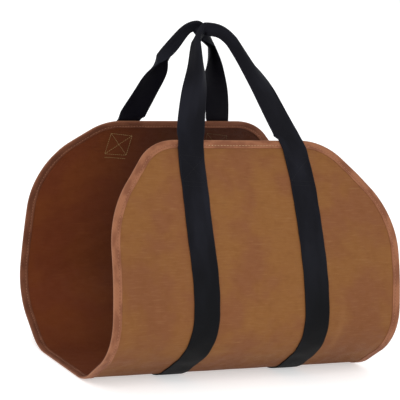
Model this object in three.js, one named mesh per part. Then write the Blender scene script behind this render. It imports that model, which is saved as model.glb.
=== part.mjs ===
// Canvas log carrier: one canvas sheet bent into a trough, bound all round its edge,
// with a webbing strap up each side that rises from the panel into a handle.
// Millimetres, +Z up. X runs along the trough and the front panel faces -Y.
// The carrier stands on z = 0, which is the underside of the straps.

import * as THREE from "three";

// Canvas sheet
const sheetLength = 480;
const halfGirth = 520; // from a top edge, down and under, to the middle of the bottom
const canvasThickness = 1.6;
const topEdgeLength = 298; // between the points where the corner cuts would meet the top edge
const cornerDepth = 108; // how far down the panel a corner cut reaches
const upperCornerRadius = 82;
const lowerCornerRadius = 155;

// The sheet's top edges, moved and turned from the plain trough
const topShiftX = -10;
const topShiftY = 6;
const frontTopTwist = 5;
const backTopTwist = 22;
const twistStart = 0.41; // share of the panel height below which the trough is plain

// Edge binding
const bindingWidth = 12;
const bindingThickness = 1;

// Webbing straps
const strapWidth = 42;
const strapThickness = 2;
const strapSpacingTop = 174; // between the strap middles along a top edge
const strapSpacingLow = 188; // between the strap middles from strapSpreadDepth down
const strapSpreadDepth = 110;
const strapRampLength = 22; // how far below the binding a strap comes down to the canvas
const foldBendLength = 7; // the part of the width that bends where a grip is folded in half
const curlBendLength = 36; // the part that bends where the webbing only begins to curl

// Handles
const gripHeight = 538; // from the ground to the fold along the top of a grip
const handleHalfGap = 6.5; // from the middle plane to the outer layer of a folded grip
const handleBow = 14; // how far a handle bows out, halfway up, from the straight way to its grip
const freedRise = 0.4; // share of a grip's rise by which it has turned away from the cloth's face

// Working clearance between neighbouring pieces
const clearance = 0.3;

// The trough's cross-section: how far the cloth leans out from straight down, in degrees,
// at shares of the half girth. Between two rows the lean changes evenly, so each is an arc.
const sectionBends = [
  { share: 0.0, lean: 34 },
  { share: 0.17, lean: 18 },
  { share: 0.34, lean: 14 },
  { share: 0.5, lean: 6 },
  { share: 0.6, lean: -33 },
  { share: 0.68, lean: -57 },
  { share: 0.76, lean: -56 },
  { share: 0.86, lean: -90 },
  { share: 1.0, lean: -90 },
];

// The route of the outer edge of each handle, from one end to the other. across is a share of the
// edge's distance from the middle at the top edge, rise a share of the way from the top edge to the
// top of the grip, fold how far the webbing is folded in half, and turn its roll about the route,
// in degrees.
const frontHandle = [
  { across: -1.0, rise: 0.0, fold: 0, turn: 0 },
  { across: -0.99, rise: 0.13, fold: 0, turn: -4 },
  { across: -0.93, rise: 0.28, fold: 0.03, turn: -8 },
  { across: -0.83, rise: 0.43, fold: 0.16, turn: -4 },
  { across: -0.7, rise: 0.56, fold: 0.5, turn: 4 },
  { across: -0.58, rise: 0.68, fold: 0.82, turn: 12 },
  { across: -0.47, rise: 0.79, fold: 0.96, turn: 18 },
  { across: -0.37, rise: 0.91, fold: 1, turn: 18 },
  { across: -0.25, rise: 0.985, fold: 1, turn: 8 },
  { across: -0.08, rise: 1.0, fold: 1, turn: 0 },
  { across: 0.08, rise: 0.95, fold: 0.95, turn: 0 },
  { across: 0.21, rise: 0.86, fold: 0.82, turn: 0 },
  { across: 0.34, rise: 0.72, fold: 0.62, turn: 0 },
  { across: 0.47, rise: 0.57, fold: 0.38, turn: 0 },
  { across: 0.6, rise: 0.43, fold: 0.15, turn: 0 },
  { across: 0.75, rise: 0.28, fold: 0.03, turn: 0 },
  { across: 0.89, rise: 0.13, fold: 0, turn: 0 },
  { across: 1.0, rise: 0.0, fold: 0, turn: 0 },
];
const backHandle = [
  { across: 1.0, rise: 0.0, fold: 0, turn: 0 },
  { across: 0.88, rise: 0.14, fold: 0, turn: 0 },
  { across: 0.72, rise: 0.3, fold: 0.03, turn: 0 },
  { across: 0.56, rise: 0.45, fold: 0.16, turn: 0 },
  { across: 0.38, rise: 0.59, fold: 0.5, turn: 4 },
  { across: 0.21, rise: 0.73, fold: 0.82, turn: 16 },
  { across: 0.05, rise: 0.85, fold: 0.96, turn: 28 },
  { across: -0.1, rise: 0.95, fold: 1, turn: 20 },
  { across: -0.24, rise: 1.0, fold: 1, turn: 6 },
  { across: -0.4, rise: 1.0, fold: 1, turn: 0 },
  { across: -0.52, rise: 0.93, fold: 0.96, turn: 0 },
  { across: -0.6, rise: 0.8, fold: 0.82, turn: 2 },
  { across: -0.67, rise: 0.66, fold: 0.6, turn: 4 },
  { across: -0.74, rise: 0.52, fold: 0.34, turn: 6 },
  { across: -0.81, rise: 0.39, fold: 0.13, turn: 8 },
  { across: -0.88, rise: 0.26, fold: 0.03, turn: 6 },
  { across: -0.95, rise: 0.12, fold: 0, turn: 0 },
  { across: -1.0, rise: 0.0, fold: 0, turn: 0 },
];

// How finely the pieces are faceted
const sheetColumns = 12;
const longestRow = 36;
const sharpestRow = 8; // degrees of bend
const cornerSteps = 5;
const cutSteps = 2;
const stepsPerHandleRow = 2;
const fullFold = 175; // degrees

// Where the pieces lie, worked out from the sizes above
const halfCanvas = canvasThickness / 2;
const bindingInside = halfCanvas + clearance;
const bindingOutside = bindingInside + bindingThickness;
const strapOnCanvas = halfCanvas + clearance + strapThickness / 2;
const strapOnBinding = bindingOutside + 2 * clearance + strapThickness / 2;
const sheetBase = strapOnCanvas + strapThickness / 2;
const strapEdgeReach = (strapSpacingTop + strapWidth) / 2;

const canvasMaterial = new THREE.MeshStandardMaterial({ color: 0x96663c, roughness: 0.85, metalness: 0 });
const bindingMaterial = new THREE.MeshStandardMaterial({ color: 0xa87058, roughness: 0.8, metalness: 0 });
const webbingMaterial = new THREE.MeshStandardMaterial({ color: 0x1e1f23, roughness: 0.9, metalness: 0 });

const radians = THREE.MathUtils.degToRad;

// Walks the chain of arcs down from a top edge. out is measured away from the trough.
function walkSection(girth) {
  let out = 0;
  let down = 0;
  for (let i = 1; i < sectionBends.length; i += 1) {
    const from = sectionBends[i - 1];
    const to = sectionBends[i];
    const start = from.share * halfGirth;
    const length = (to.share - from.share) * halfGirth;
    const travelled = THREE.MathUtils.clamp(girth - start, 0, length);
    const leanStart = radians(from.lean);
    const curvature = (radians(to.lean) - leanStart) / length;
    if (curvature === 0) {
      out += travelled * Math.sin(leanStart);
      down += travelled * Math.cos(leanStart);
    } else {
      const lean = leanStart + curvature * travelled;
      out += (Math.cos(leanStart) - Math.cos(lean)) / curvature;
      down += (Math.sin(lean) - Math.sin(leanStart)) / curvature;
    }
  }
  return { out, down };
}

const sectionEnd = walkSection(halfGirth);
const panelHeight = sectionEnd.down;

// A point on the middle of the cloth. along runs from the front top edge, under, to the back one.
function clothPoint(x, along) {
  const side = along <= halfGirth ? -1 : 1;
  const girth = side < 0 ? along : 2 * halfGirth - along;
  const { out, down } = walkSection(girth);
  const height = panelHeight - down;
  const climb = (height / panelHeight - twistStart) / (1 - twistStart);
  const lift = THREE.MathUtils.clamp(climb, 0, 1) ** 2;
  const twist = (side < 0 ? frontTopTwist : backTopTwist) * (x / (sheetLength / 2));
  return new THREE.Vector3(
    x + topShiftX * lift,
    side * (out - sectionEnd.out) + (topShiftY + twist) * lift,
    sheetBase + height,
  );
}

// A point on the middle of the cloth, with the cloth's direction out of the trough there
function clothFrame(x, along) {
  const probe = 0.5;
  const before = Math.max(along - probe, 0);
  const after = Math.min(along + probe, 2 * halfGirth);
  const acrossDirection = clothPoint(x + probe, along).sub(clothPoint(x - probe, along)).normalize();
  const alongDirection = clothPoint(x, after).sub(clothPoint(x, before)).normalize();
  const outward = new THREE.Vector3().crossVectors(alongDirection, acrossDirection).normalize();
  return { point: clothPoint(x, along), outward };
}

// The cut and rounded corner of the flat sheet, from the top edge down to the straight side
function cornerOutline() {
  const halfTop = topEdgeLength / 2;
  const halfSide = sheetLength / 2;
  const cutAngle = Math.atan2(cornerDepth, halfSide - halfTop);
  const sideAngle = Math.PI / 2 - cutAngle;
  const upperStart = halfTop - upperCornerRadius * Math.tan(cutAngle / 2);
  const lowerEnd = cornerDepth + lowerCornerRadius * Math.tan(sideAngle / 2);
  const points = [];
  for (let i = 0; i <= cornerSteps; i += 1) {
    const angle = (cutAngle * i) / cornerSteps;
    points.push({
      reach: upperStart + upperCornerRadius * Math.sin(angle),
      girth: upperCornerRadius * (1 - Math.cos(angle)),
    });
  }
  const lower = [];
  for (let i = 0; i <= cornerSteps; i += 1) {
    const angle = sideAngle * (1 - i / cornerSteps);
    lower.push({
      reach: halfSide - lowerCornerRadius * (1 - Math.cos(angle)),
      girth: lowerEnd - lowerCornerRadius * Math.sin(angle),
    });
  }
  const cutStart = points[cornerSteps];
  for (let i = 1; i < cutSteps; i += 1) {
    points.push({
      reach: THREE.MathUtils.lerp(cutStart.reach, lower[0].reach, i / cutSteps),
      girth: THREE.MathUtils.lerp(cutStart.girth, lower[0].girth, i / cutSteps),
    });
  }
  return points.concat(lower);
}

// Rows across the sheet from a top edge to the middle of the bottom, closer where it bends
function halfRows() {
  const rows = cornerOutline();
  const cornerEnd = rows[rows.length - 1].girth;
  for (let i = 1; i < sectionBends.length; i += 1) {
    const from = sectionBends[i - 1];
    const to = sectionBends[i];
    const start = Math.max(from.share * halfGirth, cornerEnd);
    const length = to.share * halfGirth - start;
    const bend = Math.abs(to.lean - from.lean);
    const steps = Math.max(Math.ceil(length / longestRow), Math.ceil(bend / sharpestRow), 1);
    for (let k = 1; k <= steps && length > 0; k += 1) {
      rows.push({ reach: sheetLength / 2, girth: start + (length * k) / steps });
    }
  }
  return rows;
}

const rowsDown = halfRows();

// The rows of the whole sheet, from the front top edge to the back one
function sheetRows() {
  const front = rowsDown.map((row) => ({ reach: row.reach, along: row.girth }));
  const back = rowsDown.slice(0, -1).map((row) => ({ reach: row.reach, along: 2 * halfGirth - row.girth }));
  return front.concat(back.reverse());
}

// Joins rings of points, all of one length, into a closed body.
// A ring runs along the outer face and returns along the inner one, so its ends close in pairs.
function loft(name, rings, material, endless) {
  const size = rings[0].length;
  const positions = [];
  rings.forEach((ring) => ring.forEach((point) => positions.push(point.x, point.y, point.z)));
  const faces = [];
  const addQuad = (a, b, c, d) => faces.push(a, b, c, c, b, d);
  const spans = endless ? rings.length : rings.length - 1;
  for (let k = 0; k < spans; k += 1) {
    const here = k * size;
    const next = ((k + 1) % rings.length) * size;
    for (let i = 0; i < size; i += 1) {
      const j = (i + 1) % size;
      addQuad(here + i, next + i, here + j, next + j);
    }
  }
  if (!endless) {
    const last = (rings.length - 1) * size;
    for (let i = 0; i < size / 2 - 1; i += 1) {
      const mirror = size - 1 - i;
      addQuad(i, i + 1, mirror, mirror - 1);
      addQuad(last + i, last + mirror, last + i + 1, last + mirror - 1);
    }
  }
  const geometry = new THREE.BufferGeometry();
  geometry.setAttribute("position", new THREE.Float32BufferAttribute(positions, 3));
  geometry.setIndex(faces);
  geometry.computeVertexNormals();
  const mesh = new THREE.Mesh(geometry, material);
  mesh.name = name;
  return mesh;
}

function canvasBody() {
  const rings = sheetRows().map((row) => {
    const outer = [];
    const inner = [];
    for (let i = 0; i <= sheetColumns; i += 1) {
      const x = row.reach * ((2 * i) / sheetColumns - 1);
      const { point, outward } = clothFrame(x, row.along);
      outer.push(point.clone().addScaledVector(outward, halfCanvas));
      inner.push(point.clone().addScaledVector(outward, -halfCanvas));
    }
    return outer.concat(inner.reverse());
  });
  return loft("canvas_body", rings, canvasMaterial, false);
}

// The sheet's edge as a loop in its flat pattern: down the right side, along the back top edge,
// up the left side and along the front top edge
function sheetEdge() {
  const rows = sheetRows();
  const right = rows.map((row) => new THREE.Vector2(row.reach, row.along));
  const left = rows.map((row) => new THREE.Vector2(-row.reach, row.along)).reverse();
  const topReach = rows[0].reach;
  const alongTop = (from, along) => {
    const points = [];
    for (let i = 1; i < sheetColumns; i += 1) {
      points.push(new THREE.Vector2(from * topReach * (1 - (2 * i) / sheetColumns), along));
    }
    return points;
  };
  return [...right, ...alongTop(1, 2 * halfGirth), ...left, ...alongTop(-1, 0)];
}

// Tape folded over the cloth's edge, following the cloth on both faces
function edgeBinding() {
  const edge = sheetEdge();
  const lipInside = clearance;
  const lipOutside = clearance + bindingThickness;
  const rings = edge.map((here, i) => {
    const before = edge[(i + edge.length - 1) % edge.length];
    const after = edge[(i + 1) % edge.length];
    const run = after.clone().sub(before).normalize();
    const outwardFlat = new THREE.Vector2(run.y, -run.x);
    const seatFlat = here.clone().addScaledVector(outwardFlat, -bindingWidth);
    const rim = clothFrame(here.x, here.y);
    const seat = clothFrame(seatFlat.x, seatFlat.y);
    const away = rim.point.clone().sub(seat.point).normalize();
    const place = (frame, beyond, height) =>
      frame.point.clone().addScaledVector(away, beyond).addScaledVector(frame.outward, height);
    return [
      place(seat, 0, bindingOutside),
      place(rim, lipInside, bindingOutside),
      place(rim, lipOutside, bindingInside),
      place(rim, lipOutside, -bindingInside),
      place(rim, lipInside, -bindingOutside),
      place(seat, 0, -bindingOutside),
      place(seat, 0, -bindingInside),
      place(rim, lipInside, -bindingInside),
      place(rim, lipInside, bindingInside),
      place(seat, 0, bindingInside),
    ];
  });
  return loft("edge_binding", rings, bindingMaterial, true);
}

// Where a strap's middle runs on the panel, as a distance from the middle of the carrier
function strapReach(girth) {
  const spread = Math.min(girth / strapSpreadDepth, 1);
  return THREE.MathUtils.lerp(strapSpacingTop, strapSpacingLow, spread) / 2;
}

// How far a strap's middle stands off the middle of the cloth: more over the binding
function strapStandOff(girth) {
  const rampStart = bindingWidth + clearance;
  const ramp = THREE.MathUtils.smoothstep(girth, rampStart, rampStart + strapRampLength);
  return THREE.MathUtils.lerp(strapOnBinding, strapOnCanvas, ramp);
}

// The strap's stations on the panel, from below up to the top edge
function panelStations(side, leg) {
  const girths = rowsDown.map((row) => row.girth).filter((girth) => girth > bindingWidth + clearance);
  girths[girths.length - 1] = halfGirth - clearance / 2;
  girths.unshift(bindingWidth + clearance);
  return girths.reverse().map((girth) => {
    const along = side < 0 ? girth : 2 * halfGirth - girth;
    const { point, outward } = clothFrame(leg * strapReach(girth), along);
    point.addScaledVector(outward, strapStandOff(girth));
    return { point, outward, fold: 0, turn: 0, edge: strapWidth / 2 };
  });
}

// The strap's stations above the top edge, along one row of the handle's table after another
function handleStations(side, handle) {
  const route = new THREE.CatmullRomCurve3(handle.map((row) => new THREE.Vector3(row.across, row.rise, 0)));
  const state = new THREE.CatmullRomCurve3(handle.map((row) => new THREE.Vector3(row.fold, row.turn, 0)));
  const steps = (handle.length - 1) * stepsPerHandleRow;
  const along = side < 0 ? 0 : 2 * halfGirth;
  const stations = [];
  for (let i = 0; i <= steps; i += 1) {
    const place = route.getPoint(i / steps);
    const { x: fold, y: turn } = state.getPoint(i / steps);
    const { point, outward } = clothFrame(place.x * strapEdgeReach, along);
    const base = point.addScaledVector(outward, strapOnBinding);
    const top = new THREE.Vector3(base.x, side * handleHalfGap, gripHeight - strapThickness / 2);
    const gripFace = new THREE.Vector3(0, side * (top.z - base.z), Math.abs(top.y - base.y)).normalize();
    const freed = THREE.MathUtils.smoothstep(place.y, freedRise / 3, freedRise);
    const bow = handleBow * Math.sin(Math.PI * place.y);
    stations.push({
      point: base.clone().lerp(top, place.y).addScaledVector(gripFace, bow),
      outward: outward.lerp(gripFace, freed),
      fold: THREE.MathUtils.clamp(fold, 0, 1),
      turn,
      edge: 0,
    });
  }
  return stations;
}

// The webbing's cross-section as pairs of outer and inner points, in millimetres across the width
// and out of the handle's face. The outer half bends inward over the inner one as it folds.
function strapSection(fold) {
  const halfWidth = strapWidth / 2;
  const bendLength = THREE.MathUtils.lerp(curlBendLength, foldBendLength, fold);
  const halfBend = bendLength / 2;
  const foldAngle = radians(fullFold) * fold;
  const across = [-halfWidth, -halfBend, -halfBend / 3, halfBend / 3, halfBend, halfWidth];
  return across.map((distance) => {
    const bent = THREE.MathUtils.clamp(distance + halfBend, 0, bendLength);
    const angle = (foldAngle * bent) / bendLength;
    const radius = fold > 0 ? bendLength / foldAngle : 0;
    const width = fold > 0 ? radius * Math.sin(angle) : bent;
    const depth = fold > 0 ? radius * (1 - Math.cos(angle)) : 0;
    const beyond = Math.max(distance - halfBend, 0);
    const before = Math.min(distance, -halfBend);
    const middle = new THREE.Vector2(
      before + width + beyond * Math.cos(angle),
      -depth - beyond * Math.sin(angle),
    );
    const normal = new THREE.Vector2(Math.sin(angle), Math.cos(angle));
    return { middle, normal };
  });
}

function handleStrap(name, side, handle) {
  const firstLeg = Math.sign(handle[0].across);
  const up = panelStations(side, firstLeg);
  const over = handleStations(side, handle);
  const down = panelStations(side, -firstLeg).reverse();
  const stations = [...up, ...over, ...down];
  const rings = stations.map((station, i) => {
    const before = stations[Math.max(i - 1, 0)].point;
    const after = stations[Math.min(i + 1, stations.length - 1)].point;
    const tangent = after.clone().sub(before).normalize();
    const widthways = new THREE.Vector3().crossVectors(station.outward, tangent).normalize();
    const face = new THREE.Vector3().crossVectors(tangent, widthways);
    const turn = radians(station.turn);
    widthways.applyAxisAngle(tangent, turn);
    face.applyAxisAngle(tangent, turn);
    const section = strapSection(station.fold);
    const shift = station.edge - Math.max(...section.map(({ middle }) => middle.x));
    const place = (middle, normal, height) =>
      station.point
        .clone()
        .addScaledVector(widthways, middle.x + shift + normal.x * height)
        .addScaledVector(face, middle.y + normal.y * height);
    const outer = section.map(({ middle, normal }) => place(middle, normal, strapThickness / 2));
    const inner = section.map(({ middle, normal }) => place(middle, normal, -strapThickness / 2));
    return outer.concat(inner.reverse());
  });
  return loft(name, rings, webbingMaterial, false);
}

const carrier = new THREE.Group();
carrier.add(canvasBody());
carrier.add(edgeBinding());
carrier.add(handleStrap("handle_strap_front", -1, frontHandle));
carrier.add(handleStrap("handle_strap_back", 1, backHandle));

export default carrier;
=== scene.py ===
import math

import bmesh
import bpy
import numpy as np
from mathutils import Matrix, Vector


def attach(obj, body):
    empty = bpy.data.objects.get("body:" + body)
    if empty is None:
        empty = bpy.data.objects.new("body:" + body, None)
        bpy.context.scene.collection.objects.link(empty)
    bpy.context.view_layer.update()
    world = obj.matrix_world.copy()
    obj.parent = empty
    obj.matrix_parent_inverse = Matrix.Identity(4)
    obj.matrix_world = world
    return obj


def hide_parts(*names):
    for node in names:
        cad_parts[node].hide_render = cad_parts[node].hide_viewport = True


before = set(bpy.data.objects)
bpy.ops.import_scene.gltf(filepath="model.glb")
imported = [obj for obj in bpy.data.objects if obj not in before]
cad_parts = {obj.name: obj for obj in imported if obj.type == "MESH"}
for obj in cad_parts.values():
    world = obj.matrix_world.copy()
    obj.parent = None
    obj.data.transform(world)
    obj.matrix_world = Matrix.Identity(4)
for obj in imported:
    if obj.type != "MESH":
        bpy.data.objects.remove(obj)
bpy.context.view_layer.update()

mm = 0.001
rng = np.random.default_rng(11)
print("frame loaded:", ", ".join(sorted(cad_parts)))

# The carrier as sewn: one canvas sheet bent into a trough. x runs along it, the front faces -Y,
# and "along" is the way over the cloth from the front top edge, under, to the back one.
trough = {
    "sheetLength": 480 * mm,
    "halfGirth": 520 * mm,
    # the pattern's corner cut: the top edge between two cuts, the depth down the panel, and the radii
    "topEdgeLength": 298 * mm,
    "cornerDepth": 108 * mm,
    "upperCornerRadius": 82 * mm,
    "lowerCornerRadius": 155 * mm,
    # how far each corner was cut off that pattern, by panel (-1 front, 1 back) and end: mm along the
    # top edge and mm of depth
    "cutOff": {
        (-1, -1): (10, 0),
        (-1, 1): (-20, 10),
        (1, -1): (-40, -20),
        (1, 1): (10, -10),
    },
    "outlineStep": 0.5 * mm,     # how finely the outline is read where rows of cloth end on it
    "topShiftX": -10 * mm,
    "topShiftY": 6 * mm,
    "frontTopTwist": 5 * mm,
    "backTopTwist": 22 * mm,
    "twistStart": 0.41,
    "clothOverFloor": 3.1 * mm,  # the middle of the cloth stands on the straps under it
    # share of the half girth, and lean out from straight down in degrees
    "bends": [(0, 34), (0.17, 18), (0.34, 14), (0.5, 6), (0.6, -33), (0.68, -57), (0.76, -56),
              (0.86, -90), (1, -90)],
}
halfGirth = trough["halfGirth"]
fullGirth = 2 * halfGirth
halfSide = trough["sheetLength"] / 2


def smooth(value, start, end):
    t = np.clip((value - start) / (end - start), 0, 1)
    return t * t * (3 - 2 * t)


def unit(v):
    return v / np.maximum(np.linalg.norm(v, axis=-1, keepdims=True), 1e-12)


def walkSection(girth):
    # follows the chain of arcs down from a top edge
    out = np.zeros_like(girth)
    down = np.zeros_like(girth)
    bends = trough["bends"]
    for (startShare, startLean), (endShare, endLean) in zip(bends[:-1], bends[1:]):
        start = startShare * halfGirth
        length = (endShare - startShare) * halfGirth
        gone = np.clip(girth - start, 0, length)
        first = math.radians(startLean)
        curl = (math.radians(endLean) - first) / length
        if curl == 0:
            out = out + gone * math.sin(first)
            down = down + gone * math.cos(first)
        else:
            lean = first + curl * gone
            out = out + (math.cos(first) - np.cos(lean)) / curl
            down = down + (np.sin(lean) - math.sin(first)) / curl
    return out, down


sectionOut, panelHeight = (float(part) for part in walkSection(np.array(halfGirth)))


def plainCloth(x, along):
    side = np.where(along <= halfGirth, -1.0, 1.0)
    girth = np.where(side < 0, along, fullGirth - along)
    out, down = walkSection(girth)
    height = panelHeight - down
    climb = (height / panelHeight - trough["twistStart"]) / (1 - trough["twistStart"])
    lift = np.clip(climb, 0, 1) ** 2
    twist = np.where(side < 0, trough["frontTopTwist"], trough["backTopTwist"]) * x / halfSide
    return np.stack([
        x + trough["topShiftX"] * lift,
        side * (out - sectionOut) + (trough["topShiftY"] + twist) * lift,
        trough["clothOverFloor"] + height,
    ], axis=-1)


def facing(pointAt, x, along, probe=0.5 * mm):
    # which way the cloth faces, out of the trough
    before = np.maximum(along - probe, 0)
    after = np.minimum(along + probe, fullGirth)
    across = pointAt(x + probe, along) - pointAt(x - probe, along)
    return unit(np.cross(pointAt(x, after) - pointAt(x, before), across))


# Soft swells and hollows of the hanging cloth: middle in x and girth, reach each way, height
swells = {
    "front": [
        (0, 190, 75, 95, 1.6),
        (-178, 150, 42, 90, 1.5),
        (182, 170, 40, 95, 1.4),
        (-150, 330, 60, 40, -1.2),
        (20, 330, 90, 36, -1.3),
        (160, 345, 60, 40, -1.2),
        (-60, 80, 30, 30, 0.7),
        (55, 105, 35, 30, -0.8),
    ],
    "back": [
        (10, 200, 80, 100, 1.8),
        (-180, 160, 40, 90, 1.2),
        (175, 150, 42, 80, 1.5),
        (-40, 340, 110, 40, -1.4),
        (130, 330, 60, 40, -1.1),
        (40, 90, 34, 30, -0.8),
    ],
    "ripple": 0.35,          # mm, small waves all over
    "rippleLength": 58,      # mm
    "stillAtTop": (22, 62),  # mm of girth over which the waves come in
    "stillBelow": (400, 440),
    "stillAtEnds": (6, 60),  # mm in from the open ends
}


def drape(x, along):
    girth = np.minimum(along, fullGirth - along)
    lift = np.zeros_like(girth)
    for side, rows in ((along <= halfGirth, swells["front"]), (along > halfGirth, swells["back"])):
        for middleX, middleGirth, reachX, reachGirth, height in rows:
            spread = ((x / mm - middleX) / reachX) ** 2 + ((girth / mm - middleGirth) / reachGirth) ** 2
            lift = lift + side * height * mm * np.exp(-spread)
    turn = 2 * math.pi / (swells["rippleLength"] * mm)
    ripple = np.sin(turn * (x + 0.35 * along)) * np.sin(0.8 * turn * along + 1.3)
    ripple = ripple + 0.7 * np.sin(1.7 * turn * (0.5 * x - along) + 0.6)
    lift = lift + swells["ripple"] * mm * ripple
    topStart, topEnd = swells["stillAtTop"]
    lowStart, lowEnd = swells["stillBelow"]
    inFromEnd = (halfSide - np.abs(x)) / mm
    lift = lift * smooth(inFromEnd, *swells["stillAtEnds"])
    return lift * smooth(girth / mm, topStart, topEnd) * (1 - smooth(girth / mm, lowStart, lowEnd))


def cloth(x, along):
    return plainCloth(x, along) + facing(plainCloth, x, along) * drape(x, along)[..., None]


def clothFrame(x, along):
    return cloth(x, along), facing(cloth, x, along)


def quarterEdge(step, side, end):
    # the sheet's edge from the middle of a top edge round the corner and down to the bottom:
    # how far out, how far down the panel, and the way out of the sheet in those two
    longer, deeper = trough["cutOff"][side, end]
    topLength = trough["topEdgeLength"] + longer * mm
    depth = trough["cornerDepth"] + deeper * mm
    upper = trough["upperCornerRadius"]
    lower = trough["lowerCornerRadius"]
    cut = math.atan2(depth, halfSide - topLength / 2)
    rest = math.pi / 2 - cut
    upperStart = topLength / 2 - upper * math.tan(cut / 2)
    lowerEnd = depth + lower * math.tan(rest / 2)

    def line(start, end, way):
        start, end = np.array(start), np.array(end)
        count = max(round(float(np.linalg.norm(end - start)) / step), 1)
        share = np.arange(count)[:, None] / count
        return np.hstack([start + (end - start) * share, np.tile(way, (count, 1))])

    def arc(centre, radius, first, last):
        # angles from the way that points up the panel, towards the sheet's end
        count = max(round(radius * abs(last - first) / step), 1)
        angle = first + (last - first) * np.arange(count) / count
        way = np.stack([np.sin(angle), -np.cos(angle)], axis=1)
        return np.hstack([np.array(centre) + radius * way, way])

    upperEnd = (upperStart + upper * math.sin(cut), upper * (1 - math.cos(cut)))
    lowerStart = (halfSide - lower * (1 - math.cos(rest)), lowerEnd - lower * math.sin(rest))
    return np.vstack([
        line((0, 0), (upperStart, 0), (0, -1)),
        arc((upperStart, upper), upper, 0, cut),
        line(upperEnd, lowerStart, (math.sin(cut), -math.cos(cut))),
        arc((halfSide - lower, lowerEnd), lower, cut, math.pi / 2),
        line((halfSide, lowerEnd), (halfSide, halfGirth), (1, 0)),
        np.array([[halfSide, halfGirth, 1, 0]]),
    ])


def edgeLoop(step):
    # all four quarters, once round: places on the flat sheet, and the way out of it
    def turned(side, end):
        part = quarterEdge(step, side, end)
        part[:, [0, 2]] *= end
        if side > 0:
            part[:, 1] = fullGirth - part[:, 1]
            part[:, 3] *= -1
        return part

    loop = np.vstack([
        turned(-1, 1)[:-1],
        turned(1, 1)[:0:-1],
        turned(1, -1)[:-1],
        turned(-1, -1)[:0:-1],
    ])
    return loop[:, :2], loop[:, 2:]


def reachAt(along, end):
    # how far the sheet goes to one end, cut corners included
    reach = np.zeros_like(along)
    for side, here in ((-1, along <= halfGirth), (1, along > halfGirth)):
        outline = quarterEdge(trough["outlineStep"], side, end)
        below = outline[outline[:, 1] > 0]
        topReach = outline[outline[:, 1] <= 0][-1, 0]
        girth = along if side < 0 else fullGirth - along
        girths = np.append(0, below[:, 1])
        reaches = np.append(topReach, below[:, 0])
        reach = np.where(here, np.interp(girth, girths, reaches), reach)
    return reach


def addObject(name, data):
    made = bpy.data.objects.new(name, data)
    bpy.context.scene.collection.objects.link(made)
    return made


def gridMesh(name, points, u, v, wrapRows=False, wrapColumns=False, materials=(), tags=None):
    # a surface of rows and columns of points, with its own flat coordinates in metres
    rows, columns = points.shape[:2]
    rowSpans = rows if wrapRows else rows - 1
    columnSpans = columns if wrapColumns else columns - 1
    r, c = np.meshgrid(np.arange(rowSpans), np.arange(columnSpans), indexing="ij")
    r, c = r.ravel(), c.ravel()
    nextR, nextC = (r + 1) % rows, (c + 1) % columns
    corners = np.stack([
        r * columns + c,
        nextR * columns + c,
        nextR * columns + nextC,
        r * columns + nextC,
    ], axis=1)
    flat = np.stack([
        np.stack([u[r, c], v[r, c]], 1),
        np.stack([u[r + 1, c], v[r + 1, c]], 1),
        np.stack([u[r + 1, c + 1], v[r + 1, c + 1]], 1),
        np.stack([u[r, c + 1], v[r, c + 1]], 1),
    ], axis=1)
    mesh = bpy.data.meshes.new(name)
    mesh.from_pydata(points.reshape(-1, 3).tolist(), [], corners.tolist())
    layer = mesh.uv_layers.new(name="flat")
    layer.data.foreach_set("uv", flat.astype(np.float32).ravel())
    for material in materials:
        mesh.materials.append(material)
    if tags is not None:
        mesh.polygons.foreach_set("material_index", tags(r, c).astype(np.int32))
    mesh.polygons.foreach_set("use_smooth", np.ones(len(corners), bool))
    mesh.update()
    return addObject(name, mesh)


def capEnds(piece, columns):
    # closes the two open ends of a tube whose rings have that many points
    mesh = piece.data
    edit = bmesh.new()
    edit.from_mesh(mesh)
    edit.verts.ensure_lookup_table()
    for start, flip in ((0, False), (len(mesh.vertices) - columns, True)):
        ring = [edit.verts[start + i] for i in range(columns)]
        for i in range(columns // 2 - 1):
            quad = [ring[i], ring[i + 1], ring[columns - 2 - i], ring[columns - 1 - i]]
            edit.faces.new(quad[::-1] if flip else quad)
    edit.to_mesh(mesh)
    edit.free()
    mesh.update()


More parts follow.
